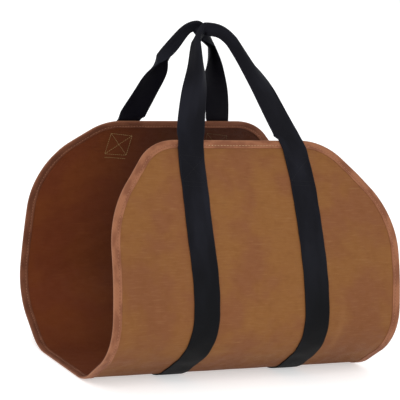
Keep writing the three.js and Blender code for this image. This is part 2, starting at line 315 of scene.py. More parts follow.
# Shader building
class Nodes:
    def __init__(self, name):
        self.material = bpy.data.materials.new(name)
        self.material.use_nodes = True
        self.tree = self.material.node_tree
        self.surface = self.tree.nodes["Principled BSDF"]

    def add(self, kind, settings=None, **inputs):
        node = self.tree.nodes.new("ShaderNode" + kind)
        for key, value in (settings or {}).items():
            setattr(node, key, value)
        for key, value in inputs.items():
            self.feed(node, key.replace("_", " "), value)
        return node

    def feed(self, node, socket, value):
        socket = node.inputs[int(socket) if socket.isdigit() else socket]
        if isinstance(value, bpy.types.NodeSocket):
            self.tree.links.new(value, socket)
        else:
            socket.default_value = value

    def finish(self, colour, roughness, specular, normal=None):
        self.feed(self.surface, "Base Color", colour)
        self.feed(self.surface, "Roughness", roughness)
        self.feed(self.surface, "Specular IOR Level", specular)
        if normal is not None:
            self.feed(self.surface, "Normal", normal)

    def flatPlace(self, scaleX, scaleY, turn=0):
        uv = self.add("TexCoord").outputs["UV"]
        mapping = self.add("Mapping", Vector=uv, Scale=(scaleX, scaleY, 1), Rotation=(0, 0, turn))
        return mapping.outputs["Vector"]

    def noise(self, place, scale, detail=2, roughness=0.5):
        node = self.add("TexNoise", {"noise_dimensions": "2D"}, Vector=place, Scale=scale, Detail=detail,
                        Roughness=roughness)
        return node.outputs["Fac"]

    def wave(self, place, scale, direction="X"):
        bands = {"wave_type": "BANDS", "bands_direction": direction, "wave_profile": "SIN"}
        node = self.add("TexWave", bands, Vector=place, Scale=scale)
        return node.outputs["Fac"]

    def math(self, operation, a, b=0.5, clamp=False):
        node = self.add("Math", {"operation": operation, "use_clamp": clamp})
        self.feed(node, "0", a)
        self.feed(node, "1", b)
        return node.outputs[0]

    def spread(self, value, low, high, newLow=0.0, newHigh=1.0):
        node = self.add("MapRange", {"interpolation_type": "SMOOTHSTEP"})
        for socket, number in zip(("Value", "From Min", "From Max", "To Min", "To Max"),
                                  (value, low, high, newLow, newHigh)):
            self.feed(node, socket, number)
        return node.outputs["Result"]

    def mix(self, share, first, second, blend="MIX"):
        node = self.add("Mix", {"data_type": "RGBA", "blend_type": blend, "clamp_factor": True})
        self.feed(node, "0", share)
        self.feed(node, "6", first)
        self.feed(node, "7", second)
        return node.outputs[2]

    def attribute(self, name):
        return self.add("Attribute", {"attribute_name": name}).outputs["Fac"]

    def bump(self, height, distance, strength=1.0, below=None):
        node = self.add("Bump", Height=height, Distance=distance, Strength=strength)
        if below is not None:
            self.feed(node, "Normal", below)
        return node.outputs["Normal"]


def shade(red, green, blue):
    # a colour as it looks on screen, 0 to 255, made linear for a shader
    def linear(value):
        value = value / 255
        return value / 12.92 if value <= 0.04045 else ((value + 0.055) / 1.055) ** 2.4
    return (linear(red), linear(green), linear(blue), 1)


# Waxed canvas: ochre brown with redder, darker clouds, a tight plain weave and pale rubs, with painted shade
# and a painted highlight laid on
canvasFinish = {
    "ochre": shade(128, 84, 42),
    "reddish": shade(121, 75, 44),
    "deep": shade(101, 60, 32),
    "rub": shade(150, 108, 70),
    # the inside face: partly the inner side's own redder brown, partly painted shade
    "insideShadeTint": (0.7, 0.4, 0.26),
    "insideGloom": 0.36,         # painted shade: how much of that is left towards the middle of the trough
    "cloudSize": 75 * mm,
    "mottleSize": 17 * mm,
    "mottleShare": 0.2,
    # noise places: how often it repeats along and across in a metre, and its turn in radians
    "scuffs": (18, 160, 0.06),
    "grain": (26, 26, 0.7),
    "streaks": (55, 420, 0.03),
    "rubShare": 0.4,
    "streakShare": 0.2,
    "weaveScale": 1 / (1.8 * mm),  # bands every 0.57 mm
    "weaveShade": 0.14,
    "weaveDepth": 0.16 * mm,
    "cockleSize": 9 * mm,
    "cockleDepth": 0.5 * mm,
    "roughness": 0.72,
    "specular": 0.16,
}


def canvasMaterial(name, inside):
    look = canvasFinish
    n = Nodes(name)
    place = n.flatPlace(1, 1)
    clouds = n.noise(place, 1 / look["cloudSize"], 3, 0.55)
    mottle = n.noise(place, 1 / look["mottleSize"], 4, 0.6)
    share = n.math("ADD", n.spread(clouds, 0.35, 0.68), n.attribute("redness"), clamp=True)
    colour = n.mix(share, look["ochre"], look["reddish"])
    colour = n.mix(n.spread(mottle, 0.48, 0.8, 0, look["mottleShare"]), colour, look["deep"])
    # painted shade: under the tape's edge, towards the bottom where the cloth turns under, and in shade
    # clouds
    colour = n.mix(n.math("MULTIPLY", n.attribute("depth"), 0.8), colour, look["deep"])
    # rubs: long thin scuffs that mostly run along the carrier
    scuffs = n.noise(n.flatPlace(*look["scuffs"]), 1, 3, 0.6)
    grain = n.noise(n.flatPlace(*look["grain"]), 1, 2, 0.5)
    rub = n.math("MULTIPLY", n.spread(scuffs, 0.62, 0.8), n.spread(grain, 0.45, 0.7))
    colour = n.mix(n.math("MULTIPLY", rub, look["rubShare"]), colour, look["rub"])
    streaks = n.noise(n.flatPlace(*look["streaks"]), 1, 2, 0.6)
    colour = n.mix(n.spread(streaks, 0.52, 0.8, 0, look["streakShare"]), colour, look["rub"])
    colour = n.mix(n.spread(streaks, 0.5, 0.2, 0, look["streakShare"]), colour, look["deep"])
    # pale rubs, and a painted highlight in the upright streak right of the right strap
    colour = n.mix(n.attribute("wearAndHighlight"), colour, look["rub"])
    # plain weave, warp and weft
    warp = n.wave(n.flatPlace(1, 1), look["weaveScale"], "X")
    weft = n.wave(n.flatPlace(1, 1), look["weaveScale"], "Y")
    weave = n.math("MULTIPLY", warp, weft)
    colour = n.mix(n.spread(weave, 0.0, 1.0, look["weaveShade"], 0.0), colour, look["deep"])
    # the inside face: partly the inner side's own redder brown, partly painted shade, with more painted shade
    # towards the middle and right of the trough
    if inside:
        colour = n.mix(1.0, colour, (*look["insideShadeTint"], 1), "MULTIPLY")
        gloom = look["insideGloom"]
        colour = n.mix(n.attribute("gloom"), colour, n.mix(1.0, colour, (gloom, gloom, gloom, 1), "MULTIPLY"))
    rough = look["roughness"]
    rough = n.spread(mottle, 0.3, 0.7, rough - 0.06, rough + 0.08)
    cockle = n.bump(n.noise(place, 1 / look["cockleSize"], 3, 0.5), look["cockleDepth"], 0.5)
    n.finish(colour, rough, look["specular"], n.bump(weave, look["weaveDepth"], 0.7, cockle))
    return n.material


# Binding: pinkish brown twill tape
bindingFinish = {
    "tape": shade(141, 92, 65),
    "shadow": shade(117, 72, 50),
    "wearAndHighlight": shade(168, 120, 92),
    # the inside face: painted shade
    "insideShadeTint": (0.62, 0.5332, 0.5208, 1),
    "patches": (28, 60),         # how often they repeat in a metre, along the tape and across it
    "fluff": (150, 260),
    "fluffDepth": 0.3 * mm,
    "twillTurn": math.radians(38),
    "twillScale": 90,            # bands every 3.5 mm
    "twillShade": 0.16,
    "twillDepth": 0.12 * mm,
    "roughness": 0.7,
    "specular": 0.16,
}


def bindingMaterial(name, inside):
    look = bindingFinish
    n = Nodes(name)
    patch = n.noise(n.flatPlace(*look["patches"]), 1, 3, 0.55)
    colour = n.mix(n.spread(patch, 0.38, 0.68), look["tape"], look["shadow"])
    # painted highlight on the tape's rounded fold, partly wear
    colour = n.mix(n.math("MULTIPLY", n.attribute("rim"), 0.5), colour, look["wearAndHighlight"])
    # painted shadow in the seam's groove and along the tape's inner edge
    colour = n.mix(n.attribute("seam"), colour, look["shadow"])
    twill = n.wave(n.flatPlace(1, 1, look["twillTurn"]), look["twillScale"], "X")
    colour = n.mix(n.spread(twill, 0, 1, look["twillShade"], 0), colour, look["shadow"])
    # the inside face: painted shade
    if inside:
        colour = n.mix(1.0, colour, look["insideShadeTint"], "MULTIPLY")
    rough = look["roughness"]
    rough = n.spread(patch, 0.3, 0.7, rough - 0.05, rough + 0.08)
    soft = n.bump(n.noise(n.flatPlace(*look["fluff"]), 1, 2, 0.5), look["fluffDepth"], 0.5)
    n.finish(colour, rough, look["specular"], n.bump(twill, look["twillDepth"], 0.6, soft))
    return n.material


# Webbing: near-black, ribbed lengthways, with a slight painted sheen on the outside and painted shade on the
# inside
webbingFinish = {
    "black": shade(16, 16, 21),
    "sheenGrey": shade(33, 34, 42),
    "shadedBlack": shade(5, 4, 12),
    "lowBlack": shade(9, 10, 11),
    "lowShade": 0.85,            # how far it darkens towards the bottom, where no light gets
    "patches": (9, 30),
    "ribs": 1.3 * mm,
    "picks": 1.1 * mm,
    "ribDepth": 0.25 * mm,
    "roughness": 0.66,
    "specular": 0.07,
}


def webbingMaterial(name, inside):
    look = webbingFinish
    n = Nodes(name)
    # the inside face is painted darker as painted shade, the outside paler as painted sheen
    base = look["shadedBlack"] if inside else look["black"]
    lighter = look["black"] if inside else look["sheenGrey"]
    patch = n.noise(n.flatPlace(*look["patches"]), 1, 3, 0.5)
    # a wave texture's bands are pi / (10 * scale) apart
    rib = n.wave(n.flatPlace(1, 1), math.pi / look["ribs"] * 0.1, "Y")
    pick = n.wave(n.flatPlace(1, 1), math.pi / look["picks"] * 0.1, "X")
    twill = n.math("MULTIPLY", rib, n.spread(pick, 0, 1, 0.55, 1))
    colour = n.mix(n.spread(patch, 0.35, 0.75, 0, 0.6), base, lighter)
    colour = n.mix(n.spread(twill, 0, 1, 0.35, 0), colour, look["shadedBlack"])
    # painted highlight: the edges painted paler, as where they catch the light
    colour = n.mix(n.math("MULTIPLY", n.attribute("rim"), 0.25), colour, look["sheenGrey"])
    colour = n.mix(n.math("MULTIPLY", n.attribute("low"), look["lowShade"]), colour, look["lowBlack"])
    n.finish(colour, look["roughness"], look["specular"], n.bump(twill, look["ribDepth"], 0.8))
    return n.material


# Thread: its colour, the dark between the plies, and its paler colour; on the boxes inside the trough the
# paler colour is painted light and the darker one painted shade
threadFinish = {
    "paleThread": (shade(164, 116, 88), shade(122, 80, 58), shade(214, 186, 142)),
    "beigeThread": (shade(92, 70, 42), shade(78, 58, 36), shade(162, 134, 86)),
    "blackThread": (shade(17, 17, 21), shade(10, 10, 13)),
}


def threadMaterial(name, colour, dark, paleTone=None):
    n = Nodes(name)
    plyTurn, plyScale = 0.6, 160
    ply = n.wave(n.flatPlace(1, 1, plyTurn), plyScale, "X")
    if paleTone:
        colour = n.mix(n.attribute("paleTone"), colour, paleTone)
    n.finish(n.mix(n.spread(ply, 0, 1, 0.5, 0), colour, dark), 0.55, 0.25)
    return n.material


materials = {}
for kind, make in (("canvas", canvasMaterial), ("binding", bindingMaterial), ("webbing", webbingMaterial)):
    materials[kind + "Outside"] = make(kind + "Outside", False)
    materials[kind + "Inside"] = make(kind + "Inside", True)
for kind, colours in threadFinish.items():
    materials[kind] = threadMaterial(kind, *colours)
print("materials made:", len(materials))

# Canvas sheet
canvasSheet = {
    "thickness": 1.6 * mm,
    "columns": 136,
    "rowSpacing": 3.5 * mm,
    "edgeShade": (14 * mm, 7 * mm, 0.25),     # from the top edge: start, reach, strength
    "underShade": (330 * mm, 440 * mm, 0.6),  # girth where it starts, where it is full, strength
    # painted shade inside: the x over which it comes in, from the left open end
    "gloomFromTo": (-190 * mm, 20 * mm),
    # redder clouds on the outside: x, along, reach each way (mm), strength
    "redClouds": [
        (-120, 190, 34, 120, 0.5),
        (-175, 250, 30, 60, 0.25),
        (95, 60, 40, 30, 0.35),
        (170, 300, 50, 60, 0.45),
        (0, 400, 200, 40, 0.5),
        (200, 120, 30, 60, 0.3),
        (0, 820, 180, 60, 0.3),
        (-90, 900, 50, 60, 0.3),
    ],
    # painted shade: darker, greyer places
    "shadeClouds": [
        (-190, 240, 50, 150, 0.28),
        (-120, 400, 120, 60, 0.3),
        (60, 400, 110, 60, 0.26),
        (180, 350, 60, 110, 0.42),
        (160, 160, 60, 60, 0.12),
        (-90, 820, 100, 80, 0.2),
        (120, 700, 70, 90, 0.15),
    ],
    # wear: pale rubbed places, and a painted highlight: the narrow upright streak right of the right strap
    "rubsAndHighlight": [
        (138, 300, 5, 46, 0.22),
        (-60, 330, 60, 3, 0.12),
        (-30, 352, 50, 2.4, 0.1),
        (100, 345, 60, 3, 0.08),
    ],
}


def softPatches(rows, x, along):
    value = np.zeros_like(x)
    for middleX, middleAlong, reachX, reachAlong, strength in rows:
        spread = ((x / mm - middleX) / reachX) ** 2 + ((along / mm - middleAlong) / reachAlong) ** 2
        value = value + strength * np.exp(-spread)
    return value


def addAttribute(piece, name, values):
    layer = piece.data.attributes.new(name, "FLOAT", "POINT")
    layer.data.foreach_set("value", np.asarray(values, np.float32).ravel())


def makeCanvas():
    spec = canvasSheet
    rowCount = round(fullGirth / spec["rowSpacing"]) + 1
    along = np.linspace(0, fullGirth, rowCount)
    share = np.linspace(-1, 1, spec["columns"] + 1)[None, :]
    x = np.where(share < 0, reachAt(along, -1)[:, None], reachAt(along, 1)[:, None]) * share
    alongGrid = np.repeat(along[:, None], spec["columns"] + 1, axis=1)
    piece = gridMesh("canvas_sheet", cloth(x, alongGrid), x, alongGrid,
                     materials=(materials["canvasOutside"], materials["canvasInside"]))
    girth = np.minimum(alongGrid, fullGirth - alongGrid)
    start, reach, strength = spec["edgeShade"]
    edgeShade = np.exp(-(girth - start).clip(0) / reach) * strength
    start, full, strength = spec["underShade"]
    under = smooth(girth, start, full) * strength
    addAttribute(piece, "redness", softPatches(spec["redClouds"], x, alongGrid))
    # wear, and a painted highlight
    addAttribute(piece, "wearAndHighlight", softPatches(spec["rubsAndHighlight"], x, alongGrid))
    # painted shade: under the tape's edge, where the cloth turns under, and the shade clouds
    addAttribute(piece, "depth", edgeShade + under + softPatches(spec["shadeClouds"], x, alongGrid))
    # painted shade on the inside, darker from the left open end towards the middle and right
    addAttribute(piece, "gloom", smooth(x, *spec["gloomFromTo"]))
    thick = piece.modifiers.new("thickness", "SOLIDIFY")
    thick.thickness = spec["thickness"]
    thick.offset = 0
    thick.material_offset = 1
    return piece


# Edge binding: tape folded over the edge and sewn through
edgeTape = {
    "width": 12 * mm,
    "clothHalf": 0.8 * mm,
    "gap": 0.08 * mm,
    "thickness": 0.85 * mm,
    "puff": 0.42 * mm,           # how much the tape stands up on each side of the seam
    "seamIn": 8 * mm,            # from the cloth's edge to the seam
    "seamGroove": 0.4 * mm,
    "stitchPitch": 5.2 * mm,
    "rimReach": 1.5 * mm,        # how far the fold stands past the cloth's edge
    "widthDrift": 0.45 * mm,
    "widthWaves": (5, 11, 23, 41),
    "puffDrift": 0.35,
    "puffWaves": (13, 29, 53),
    "seamShade": 0.85,
    # columns of the mesh over each face, in mm from the cloth's edge
    "columnsIn": (12, 11.95, 11.75, 11.3, 10.7, 10.1, 9.5, 8.9, 8.45, 8, 7.55, 7.1, 6.3, 5.2, 4, 2.8,
                  1.7, 0.8, 0.2),
    "rimAngles": (22, 45, 68, 90, 112, 135, 158),
    "step": 2.6 * mm,
}


def drift(length, waves, size):
    # a slow random wander that closes on itself
    phase = rng.uniform(0, 2 * math.pi, len(waves))
    turn = 2 * math.pi * length / length[-1]
    return size * sum(np.sin(count * turn + shift) for count, shift in zip(waves, phase)) / len(waves)


def tapeHeight(inward, lengthwise):
    # how high the tape's outer face stands over the middle of the cloth
    spec = edgeTape
    lip = np.sqrt(np.clip(1 - ((inward - (spec["width"] - 0.7 * mm)) / (0.7 * mm)).clip(0) ** 2, 0.0, 1))
    outerHump = np.exp(-((inward - 3.6 * mm) / (2.8 * mm)) ** 2)
    innerHump = np.exp(-((inward - 10.2 * mm) / (1.1 * mm)) ** 2)
    pull = 0.72 + 0.28 * np.cos(2 * math.pi * lengthwise / spec["stitchPitch"])
    groove = np.exp(-((inward - spec["seamIn"]) / (0.75 * mm)) ** 2) * pull
    base = spec["clothHalf"] + spec["gap"]
    puffs = spec["puff"] * (outerHump + 0.7 * innerHump)
    return base + spec["thickness"] * lip + puffs - spec["seamGroove"] * groove


def makeBinding():
    spec = edgeTape
    flat, way = edgeLoop(spec["step"])
    closed = np.vstack([flat, flat[:1]])
    length = np.append(0, np.cumsum(np.linalg.norm(np.diff(closed, axis=0), axis=1)))
    wander = drift(length, spec["widthWaves"], spec["widthDrift"])[:-1]
    puffWander = 1 + drift(length, spec["puffWaves"], spec["puffDrift"])[:-1]
    inwards = np.array(spec["columnsIn"]) * mm
    rimAngles = np.radians(spec["rimAngles"])
    rimPoint, rimFace = clothFrame(flat[:, 0], flat[:, 1])
    nearFlat = flat - way * 1.5 * mm
    away = unit(rimPoint - cloth(nearFlat[:, 0], nearFlat[:, 1]))

    def sideColumns(sign, order):
        columns = []
        for inward in order:
            depth = inward * (1 + wander / spec["width"])
            seat = flat - way * depth[:, None]
            point, face = clothFrame(seat[:, 0], seat[:, 1])
            height = tapeHeight(inward, length[:-1])
            base = spec["clothHalf"] + spec["gap"] + spec["thickness"]
            height = base + (height - base) * puffWander if 1.2 * mm < inward < 11 * mm else height
            columns.append(point + face * (sign * height)[:, None])
        return columns

    def rimColumns():
        rimHeight = tapeHeight(inwards[-1], length[:-1])
        columns = []
        for angle in rimAngles:
            beyond = spec["rimReach"] * math.sin(angle)
            columns.append(rimPoint + away * beyond + rimFace * (rimHeight * math.cos(angle))[:, None])
        return columns

    def hiddenColumns():
        inside = spec["clothHalf"] + spec["gap"] / 2
        rim = rimPoint + away * spec["gap"]
        seat = flat - way * (spec["width"] - 0.3 * mm)
        point, face = clothFrame(seat[:, 0], seat[:, 1])
        return [point - face * inside, rim - rimFace * inside, rim + rimFace * inside, point + face * inside]

    outer = sideColumns(1, inwards)
    rim = rimColumns()
    inner = sideColumns(-1, inwards[::-1])
    hidden = hiddenColumns()
    points = np.stack(outer + rim + inner + hidden, axis=1)
    ringLength = np.append(0, np.cumsum(np.linalg.norm(np.diff(points[0], axis=0), axis=1)))
    ringLength = np.append(ringLength, ringLength[-1] + 1 * mm)
    rows = len(flat)
    u = np.repeat(length[:, None], points.shape[1] + 1, axis=1)
    v = np.repeat(ringLength[None, :], rows + 1, axis=0)
    middle = len(outer) + len(rim) // 2
    piece = gridMesh("edge_tape", points, u, v, True, True,
                     (materials["bindingOutside"], materials["bindingInside"]),
                     lambda r, c: c >= middle)
    column = np.arange(points.shape[1])
    # painted highlight on the tape's rounded fold, partly wear
    rimShare = np.exp(-((column - middle) / 3.2) ** 2)
    # painted shadow in the seam's groove and along the tape's inner edge, on both faces
    seamColumns = np.zeros(points.shape[1])
    seamColumns[[8, 9, 10]] = (0.35, 0.8, 0.35)
    seamColumns[[0, 1]] = 0.6
    seamColumns = np.maximum(seamColumns, np.roll(seamColumns[::-1], -len(hidden)))
    addAttribute(piece, "rim", np.repeat(rimShare[None, :], rows, 0))
    addAttribute(piece, "seam", np.repeat(seamColumns[None, :], rows, 0) * spec["seamShade"])
    return piece


# Webbing straps
webbing = {
    "width": 42 * mm,
    "thickness": 2 * mm,
    # where a strap's middle runs down the panel: girth, x
    "leftRun": [(0, -91), (40, -97), (110, -100), (260, -93), (400, -100), (520, -100)],
    "rightRun": [(0, 84), (130, 86), (260, 93), (400, 100), (520, 100)],
    "overCanvas": 2.1 * mm,      # the strap's middle over the cloth's
    "overBinding": 3.7 * mm,
    "rampStart": 12.3 * mm,
    "rampLength": 22 * mm,
    "endGap": 0.15 * mm,         # half the gap where front and back straps meet under the bottom
    "foldBend": 7 * mm,
    "curlBend": 26 * mm,
    "fullFold": 175,             # degrees
    "selvedgeIn": 3.2 * mm,      # the seam's row from the webbing's edge
    "selvedgeGroove": 0.22 * mm,
    "lowFromTo": (40 * mm, 300 * mm),  # heights between which it darkens towards the bottom
    "step": 3 * mm,
    "acrossPoints": 25,
}

# Each handle's outer edge runs from leg to leg: x in mm, and the rise as a share of the way up to the
# grip. Up each leg the webbing folds in half about its middle, and the fold rolls to the outside,
# between two rises; footRoll is how far the webbing turns just above the panel.
handles = {
    "gripHeight": 538 * mm,
    "gripHalfGap": 6.5 * mm,
    "bow": 14 * mm,
    "freedRise": 0.4,
    "squareBy": 0.16,            # the rise by which the webbing's width has turned square to its run
    "stations": 201,
    "evenOut": 24,
    "evenFold": 160,
    "footTurn": (0.08, 0.35),    # the rises where the foot's turn is fullest, and gone
    "front": {
        "route": [(-110, 0), (-95, 0.35), (-65, 0.65), (-35, 0.95), (-15, 1), (15, 0.95), (40, 0.75),
                  (60, 0.5), (80, 0.25), (103, 0)],
        "crestRoll": 45,
        "legs": [
            {"fold": (0.15, 1), "roll": (0.75, 1.15), "footRoll": 14},
            {"fold": (0.2, 1.3), "roll": (0.2, 1.2), "footRoll": -4},
        ],
    },
    "back": {
        "route": [(103, 0), (80, 0.3), (50, 0.55), (20, 0.75), (-5, 0.9), (-25, 1), (-50, 0.95),
                  (-65, 0.75), (-80, 0.5), (-95, 0.2), (-107, 0)],
        "crestRoll": 100,
        "legs": [
            {"fold": (0.2, 0.9), "roll": (0.88, 1), "footRoll": 0},
            {"fold": (0.25, 0.8), "roll": (0.58, 0.82), "footRoll": -14},
        ],
    },
}


def strapRun(leg, girth):
    # the middle of a strap at a height of the panel, and how fast it drifts sideways there
    rows = np.array(webbing["leftRun" if leg < 0 else "rightRun"], float) * mm
    knots, values = rows.T
    slopes = np.gradient(values, knots)

    def at(place):
        k = np.clip(np.searchsorted(knots, place, side="right") - 1, 0, len(knots) - 2)
        span = knots[k + 1] - knots[k]
        t = np.clip((place - knots[k]) / span, 0, 1)
        near = (2 * t ** 3 - 3 * t ** 2 + 1) * values[k] + (t ** 3 - 2 * t ** 2 + t) * span * slopes[k]
        return near + (3 * t ** 2 - 2 * t ** 3) * values[k + 1] + (t ** 3 - t ** 2) * span * slopes[k + 1]

    girth = np.asarray(girth, float)
    above = np.maximum(girth - 1 * mm, 0)
    below = girth + 1 * mm
    return at(girth), (at(below) - at(above)) / (below - above)


def strapStandOff(girth):
    ramp = smooth(girth, webbing["rampStart"], webbing["rampStart"] + webbing["rampLength"])
    return webbing["overBinding"] + (webbing["overCanvas"] - webbing["overBinding"]) * ramp


def throughRows(rows, count):
    # a smooth curve through a table's rows, with even steps between them
    table = np.array(rows, float)
    padded = np.vstack([2 * table[0] - table[1], table, 2 * table[-1] - table[-2]])
    at = np.linspace(0, len(table) - 1, count)
    k = np.minimum(at.astype(int), len(table) - 2)
    t = (at - k)[:, None]
    p0, p1, p2, p3 = padded[k], padded[k + 1], padded[k + 2], padded[k + 3]
    return 0.5 * (2 * p1 + (p2 - p0) * t + (2 * p0 - 5 * p1 + 4 * p2 - p3) * t ** 2
                  + (3 * p1 - p0 - 3 * p2 + p3) * t ** 3)


def evenedOut(values, times):
    # softens what corners the table leaves, with the ends held
    values = values.copy()
    for _ in range(times):
        values[1:-1] = (values[:-2] + 2 * values[1:-1] + values[2:]) / 4
    return values


def ringProfile():
    # once round the webbing: place across the width, and height over its middle
    half = webbing["width"] / 2
    edgeRadius = webbing["thickness"] / 2
    flatPart = np.linspace(-(half - edgeRadius), half - edgeRadius, webbing["acrossPoints"])
    corner = np.radians([30, 60])
    rightS = half - edgeRadius + edgeRadius * np.sin(corner)
    top = np.concatenate([-rightS[::-1], flatPart, rightS])
    height = np.concatenate([np.cos(corner[::-1]), np.ones(len(flatPart)), np.cos(corner)])
    across = np.concatenate([top, [half], top[::-1], [-half]])
    lift = np.concatenate([height, [0], -height[::-1], [0]])
    row = np.exp(-((half - np.abs(across) - webbing["selvedgeIn"]) / (0.9 * mm)) ** 2)
    lift = lift * (1 - row * webbing["selvedgeGroove"] / edgeRadius)
    return across, lift * edgeRadius


def foldedSection(across, lift, fold, roll):
    # both halves of the width bend back from the middle; the outermost point is brought to 0
    fold = np.clip(fold, 1e-4, 1)[:, None]
    bend = webbing["curlBend"] + (webbing["foldBend"] - webbing["curlBend"]) * fold
    full = math.radians(webbing["fullFold"]) * fold
    bent = np.clip(across[None, :], -bend / 2, bend / 2)
    angle = full * bent / bend
    radius = bend / full
    beyond = across[None, :] - bent
    plainX = radius * np.sin(angle) + beyond * np.cos(angle)
    plainY = -radius * (1 - np.cos(angle)) - beyond * np.sin(angle)
    cos, sin = np.cos(roll)[:, None], np.sin(roll)[:, None]
    middleX = plainX * cos + plainY * sin
    middleY = plainY * cos - plainX * sin
    shift = -middleX.max(axis=1, keepdims=True)
    lean = angle + roll[:, None]
    return middleX + np.sin(lean) * lift + shift, middleY + np.cos(lean) * lift


def foldAndRoll(handle, rise):
    # each leg by its own rises, up to the crest and after it
    firstLeg, lastLeg = handle["legs"]
    after = np.arange(len(rise)) > rise.argmax()
    fullTurn, gone = handles["footTurn"]
    turn = smooth(rise, 0, fullTurn) - smooth(rise, fullTurn, gone)
    parts = []
    for leg in (firstLeg, lastLeg):
        parts.append(np.stack([smooth(rise, *leg["fold"]), handle["crestRoll"] * smooth(rise, *leg["roll"])]))
    fold, roll = evenedOut(np.where(after, parts[1], parts[0]).T, handles["evenFold"]).T
    return fold, roll + turn * np.where(after, lastLeg["footRoll"], firstLeg["footRoll"])


def handleRoute(side, handle):
    count = handles["stations"]
    x, rise = evenedOut(throughRows(handle["route"], count), handles["evenOut"]).T
    fold, roll = foldAndRoll(handle, rise)
    point, outward = clothFrame(x * mm, np.full(count, 0.0 if side < 0 else fullGirth))
    base = point + outward * webbing["overBinding"]
    top = base.copy()
    top[:, 1] = side * handles["gripHalfGap"]
    top[:, 2] = handles["gripHeight"] - webbing["thickness"] / 2
    grip = unit(np.stack([
        np.zeros(count),
        side * (top[:, 2] - base[:, 2]),
        np.abs(top[:, 1] - base[:, 1]),
    ], axis=1))
    freed = smooth(rise, handles["freedRise"] / 3, handles["freedRise"])[:, None]
    bow = handles["bow"] * np.sin(math.pi * np.clip(rise, 0, 1))[:, None] ** 2
    point = base + (top - base) * rise[:, None] + grip * bow
    return point, unit(outward + (grip - outward) * freed), rise, np.clip(fold, 0, 1), np.radians(roll)


def legGirths():
    # stations on the panel from the bottom's middle up to the binding
    low = webbing["rampStart"]
    count = round((halfGirth - low) / webbing["step"])
    return np.linspace(halfGirth - webbing["endGap"], low, count)


def panelRings(side, leg, girths, across, lift):
    along = girths if side < 0 else fullGirth - girths
    middle, drift = strapRun(leg, girths)
    x = middle[:, None] + np.sqrt(1 + drift ** 2)[:, None] * across[None, :]
    point, outward = clothFrame(x, np.repeat(along[:, None], len(across), axis=1))
    height = strapStandOff(girths)[:, None] + lift[None, :]
    return point + outward * height[..., None]


def outerEdgeAt(side, leg, girth):
    # the strap's outer edge on the panel, which the handle's route goes on from
    middle, drift = strapRun(leg, girth)
    x = middle + leg * webbing["width"] / 2 * math.sqrt(1 + drift ** 2)
    point, outward = clothFrame(np.array([x]), np.array([girth if side < 0 else fullGirth - girth]))
    return point + outward * webbing["overBinding"]


def handleRings(side, firstLeg, handle, across, lift):
    point, outward, rise, fold, roll = handleRoute(side, handle)
    low = webbing["rampStart"]
    path = np.vstack([outerEdgeAt(side, firstLeg, low), point, outerEdgeAt(side, -firstLeg, low)])
    tangent = unit(path[2:] - path[:-2])
    square = unit(np.cross(outward, tangent))
    # level with the top edge where the webbing leaves the panel, square to its run further up
    level = np.sign(square[:, :1]) * np.array([1.0, 0, 0])
    level = unit(level - np.sum(level * outward, axis=1, keepdims=True) * outward)
    widthways = unit(level + (square - level) * smooth(rise, 0, handles["squareBy"])[:, None])
    stretch = 1 / np.sum(widthways * square, axis=1, keepdims=True)
    stretch = 1 + (stretch - 1) * smooth(rise, -0.02, 0.1)[:, None]
    face = unit(np.cross(tangent, square))
    sectionX, sectionY = foldedSection(across, lift, fold, roll)
    return (point[:, None, :] + widthways[:, None, :] * (sectionX * stretch)[..., None]
            + face[:, None, :] * sectionY[..., None])


def makeStrap(name, side, handle):
    across, lift = ringProfile()
    firstLeg = 1.0 if handle["route"][0][0] > 0 else -1.0
    girths = legGirths()
    over = handleRings(side, firstLeg, handle, across, lift)
    # the panels list the width in the direction that the handle's rings do
    up = panelRings(side, firstLeg, girths, across * firstLeg, lift)
    down = panelRings(side, -firstLeg, girths, across * -firstLeg, lift)[::-1]
    rings = np.concatenate([up, over, down])
    middles = rings.mean(axis=1)
    length = np.append(0, np.cumsum(np.linalg.norm(np.diff(middles, axis=0), axis=1)))
    columns = len(across)
    u = np.repeat(length[:, None], columns + 1, axis=1)
    v = np.repeat(np.append(across, across[0])[None, :], len(length), axis=0)
    half = columns // 2
    piece = gridMesh(name, rings, u, v, False, True,
                     (materials["webbingOutside"], materials["webbingInside"]),
                     lambda r, c: (c >= half) & (c < columns - 1))
    capEnds(piece, columns)
    # painted highlight: the webbing's edges painted paler, as where they catch the light
    rim = np.exp(-((webbing["width"] / 2 - np.abs(across)) / (1.2 * mm)) ** 2)
    addAttribute(piece, "rim", np.repeat(rim[None, :], len(length), 0))
    addAttribute(piece, "low", 1 - smooth(rings[..., 2], *webbing["lowFromTo"]))
    return piece, length[-1]


# Thread
sewing = {
    "tapeStitch": {"pitch": 5.2 * mm, "share": 0.74, "radius": 0.32 * mm, "rise": 0.34 * mm},
    "boxStitch": {"pitch": 3.6 * mm, "share": 0.8, "radius": 0.38 * mm, "rise": 0.34 * mm},
    "outerStitch": {"pitch": 3.6 * mm, "share": 0.8, "radius": 0.22 * mm, "rise": 0.2 * mm},
    "paleFromTo": (-72 * mm, 60 * mm),
    "paleFade": 25 * mm,
    # painted light on the boxes' thread fades out between minus and plus this x
    "boxLitReach": 60 * mm,
    "boxTop": 26 * mm,           # girth of the sewn box's upper line
    "boxHeight": 39 * mm,
    "boxWidth": 39.4 * mm,
    "boxSecondLine": 6.5 * mm,
    "boxSkew": 5 * mm,           # how much lower its right side sits
}


